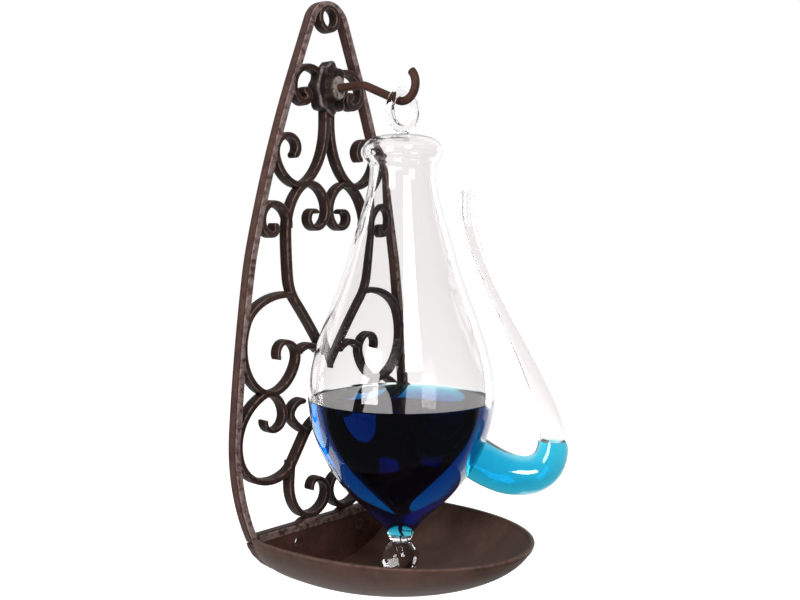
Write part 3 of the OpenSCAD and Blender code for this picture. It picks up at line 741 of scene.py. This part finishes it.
# %% [markdown]
# ## The hanging loop and the ball
#
# Both are solid glass worked at the lamp. The loop is a rod bent round and fused to its own
# stem, so a ring and a stem are melted together: one voxel skin over both, then smoothed.
# The ball is a single turned profile with a waist under the flask's foot.


# %% The loop
def apply_modifiers(piece):
    """The piece keeps what its modifiers make, and no modifier."""
    graph = bpy.context.evaluated_depsgraph_get()
    made = bpy.data.meshes.new_from_object(piece.evaluated_get(graph))
    piece.modifiers.clear()
    piece.data = made
    made.shade_smooth()


def loop_piece():
    """A ring and a flared stem under one skin, smoothed as by a flame."""
    around = np.linspace(0, 2 * np.pi, 97)[:-1]
    section = np.linspace(0, 2 * np.pi, 33)[:-1]
    rod = LOOP_ROD_R - 0.05
    reach = LOOP_R + rod * np.cos(section)[None, :]
    ring = np.stack([reach * np.cos(around)[:, None], np.broadcast_to(rod * np.sin(section), (96, 32)),
                     LOOP_Z + reach * np.sin(around)[:, None]], axis=-1) + AXIS
    ring = np.concatenate([ring, ring[:1]])
    loop = make_piece("lamp_worked_loop", ring, caps=False)
    stem = np.array([(0, LOOP_Z - LOOP_R), (2.6, LOOP_Z - LOOP_R), (2.5, 209.0), (2.8, 208.0),
                     (4.0, FLASK_TOP + 0.1), (0, FLASK_TOP + 0.1)])
    foot = make_piece("loop_stem", lathe(stem, 48), caps=False)
    work = bmesh.new()
    work.from_mesh(loop.data)
    work.from_mesh(foot.data)
    work.to_mesh(loop.data)
    work.free()
    bpy.data.objects.remove(foot)
    skin = loop.modifiers.new("skin", "REMESH")
    skin.mode, skin.voxel_size, skin.use_smooth_shade = "VOXEL", 0.3 * MM, True
    flame = loop.modifiers.new("flame", "SMOOTH")
    flame.factor, flame.iterations = 0.5, 6
    apply_modifiers(loop)
    return settle(loop, "glass", "glass", BLOWN_GLASS, "hanging_loop")


loop_piece()


# %% The ball
def ball_piece():
    """A circle from the ball's lowest point, then a waist that flares into the flask's foot."""
    radius, centre = 9.3, -1.9
    angle = np.radians(np.linspace(-90, 58, 60))
    ball = np.stack([radius * np.cos(angle), centre + radius * np.sin(angle)], axis=1)
    ball[0, 0] = 0
    waist = np.array([(4.7, 6.25), (4.55, 6.8), (4.8, 7.4), (5.4, 7.95), (0, 7.95)])
    piece = make_piece("solid_ball", lathe(np.concatenate([ball, waist]), 96), caps=False, crease=50)
    return settle(piece, "glass", "glass", BLOWN_GLASS, "finial_ball")


ball_piece()
print("glass pieces made")

# %% [markdown]
# ## Floor, light and camera
#
# The bracket hangs on nothing that can be seen, over a pale floor. The world is white to the
# camera. In glass and gloss it is white ahead of the camera and dim beside and behind it, and on
# other surfaces it is a soft, even light. An evenly white room, or a floor that reaches in front of
# the object, would lay a grey veil over the dark water, so the floor begins just before the flask.
# A key lamp and two side lamps light the bars. The camera stands to the left, a little above the
# middle, and looks slightly down.


# %% The floor and the world
AMBIENT = 0.4
FLOOR_NEAR, FLOOR_FAR, FLOOR_Z = -0.12, 4.0, -0.16
FLOOR_GLOW = 0.66
CAMERA_AHEAD = (0.0, 0.17, 0.985)


def white_rays(tree):
    """1 for camera, glossy and transmission rays, 0 for the rays that carry light to surfaces."""
    path = add_node(tree, "ShaderNodeLightPath")
    total = None
    for label in ("Is Camera Ray", "Is Glossy Ray", "Is Transmission Ray"):
        if total is None:
            total = path.outputs[label]
            continue
        larger = add_node(tree, "ShaderNodeMath", operation="MAXIMUM")
        tree.links.new(total, larger.inputs[0])
        tree.links.new(path.outputs[label], larger.inputs[1])
        total = larger.outputs["Value"]
    return total


def make_floor():
    """A wide flat sheet, pale, a hand's breadth under the dish."""
    near, far, height = FLOOR_NEAR, FLOOR_FAR, FLOOR_Z
    mesh = bpy.data.meshes.new("floor")
    corners = [(near, near, height), (far, near, height), (far, far, height), (near, far, height)]
    mesh.from_pydata(corners, [], [(0, 1, 2, 3)])
    floor = bpy.data.objects.new("floor", mesh)
    scene.collection.objects.link(floor)
    material = bpy.data.materials.new("pale floor")
    material.use_nodes = True
    tree = material.node_tree
    shader = tree.nodes["Principled BSDF"]
    shader.inputs["Base Color"].default_value = (0.86, 0.86, 0.86, 1)
    shader.inputs["Roughness"].default_value = 0.9
    shader.inputs["Emission Color"].default_value = (1, 1, 1, 1)
    glow = add_node(tree, "ShaderNodeMath", operation="MULTIPLY")
    tree.links.new(white_rays(tree), glow.inputs[0])
    glow.inputs[1].default_value = FLOOR_GLOW
    tree.links.new(glow.outputs["Value"], shader.inputs["Emission Strength"])
    mesh.materials.append(material)


def make_world():
    """White to the camera, AMBIENT as a light, and in glass and gloss white only ahead of the camera."""
    world = bpy.data.worlds.new("studio")
    scene.world = world
    world.use_nodes = True
    tree = world.node_tree
    back = tree.nodes["Background"]
    back.inputs["Color"].default_value = (1, 1, 1, 1)
    path = add_node(tree, "ShaderNodeLightPath")
    clear = add_node(tree, "ShaderNodeMath", operation="MAXIMUM")
    tree.links.new(path.outputs["Is Glossy Ray"], clear.inputs[0])
    tree.links.new(path.outputs["Is Transmission Ray"], clear.inputs[1])
    coords = add_node(tree, "ShaderNodeTexCoord")
    seen = add_node(tree, "ShaderNodeVectorTransform", vector_type="VECTOR", convert_from="WORLD",
                    convert_to="CAMERA")
    tree.links.new(coords.outputs["Generated"], seen.inputs["Vector"])
    towards = add_node(tree, "ShaderNodeVectorMath", {1: CAMERA_AHEAD}, operation="DOT_PRODUCT")
    tree.links.new(seen.outputs["Vector"], towards.inputs[0])
    room = add_node(tree, "ShaderNodeMapRange", {
        "From Min": 0.2, "From Max": 0.7, "To Min": 0.04, "To Max": 1.0})
    tree.links.new(towards.outputs["Value"], room.inputs["Value"])
    level = add_node(tree, "ShaderNodeMix", {"A": AMBIENT})
    tree.links.new(clear.outputs["Value"], level.inputs["Factor"])
    tree.links.new(room.outputs["Result"], level.inputs["B"])
    white = add_node(tree, "ShaderNodeMath", operation="MAXIMUM")
    tree.links.new(path.outputs["Is Camera Ray"], white.inputs[0])
    tree.links.new(level.outputs["Result"], white.inputs[1])
    tree.links.new(white.outputs["Value"], back.inputs["Strength"])


make_floor()
make_world()


# %% The lamps
def placed(right, up, back, place):
    """The matrix of an object with these three axes, at that place."""
    axes = np.column_stack([right, up, back, place])
    return Matrix(np.vstack([axes, [0, 0, 0, 1]]).tolist())


def softbox(name, place, target, wide, high, power):
    """An area lamp at place, turned to the target."""
    lamp = bpy.data.lights.new(name, "AREA")
    lamp.shape, lamp.size, lamp.size_y, lamp.energy = "RECTANGLE", wide, high, power
    holder = bpy.data.objects.new(name, lamp)
    scene.collection.objects.link(holder)
    place, target = np.array(place, float), np.array(target, float)
    back = (place - target) / np.linalg.norm(place - target)
    right = np.cross([0, 0, 1], back)
    right /= np.linalg.norm(right)
    up = np.cross(back, right)
    holder.matrix_world = placed(right, up, back, place)


softbox("key lamp", (-0.75, -1.25, 0.85), (0, -0.05, 0.13), 0.6, 0.6, 16.0)
softbox("left lamp", (-1.35, -0.15, 0.35), (0, -0.05, 0.13), 0.5, 0.8, 11.0)
softbox("right lamp", (1.3, -0.1, 0.15), (0, -0.05, 0.1), 0.3, 0.7, 7.0)


# %% The camera
def make_camera():
    """A level heading, then a pitch and a small roll; a lens of 44.8 mm on a 36 mm frame."""
    heading, pitch, roll = np.radians([-48.0, 4.3225, 0.2992])
    ahead = np.array([-np.sin(heading) * np.cos(pitch), np.cos(heading) * np.cos(pitch), -np.sin(pitch)])
    right = np.array([np.cos(heading), np.sin(heading), 0.0])
    up = np.cross(right, ahead)
    right, up = np.cos(roll) * right + np.sin(roll) * up, -np.sin(roll) * right + np.cos(roll) * up
    data = bpy.data.cameras.new("camera")
    data.sensor_width, data.lens = 36.0, 995.01 / 800 * 36.0
    camera = bpy.data.objects.new("camera", data)
    scene.collection.objects.link(camera)
    place = np.array([-0.3614, -0.3802, 0.1635])
    camera.matrix_world = placed(right, up, -ahead, place)
    scene.camera = camera


make_camera()
scene.view_settings.view_transform = "Standard"
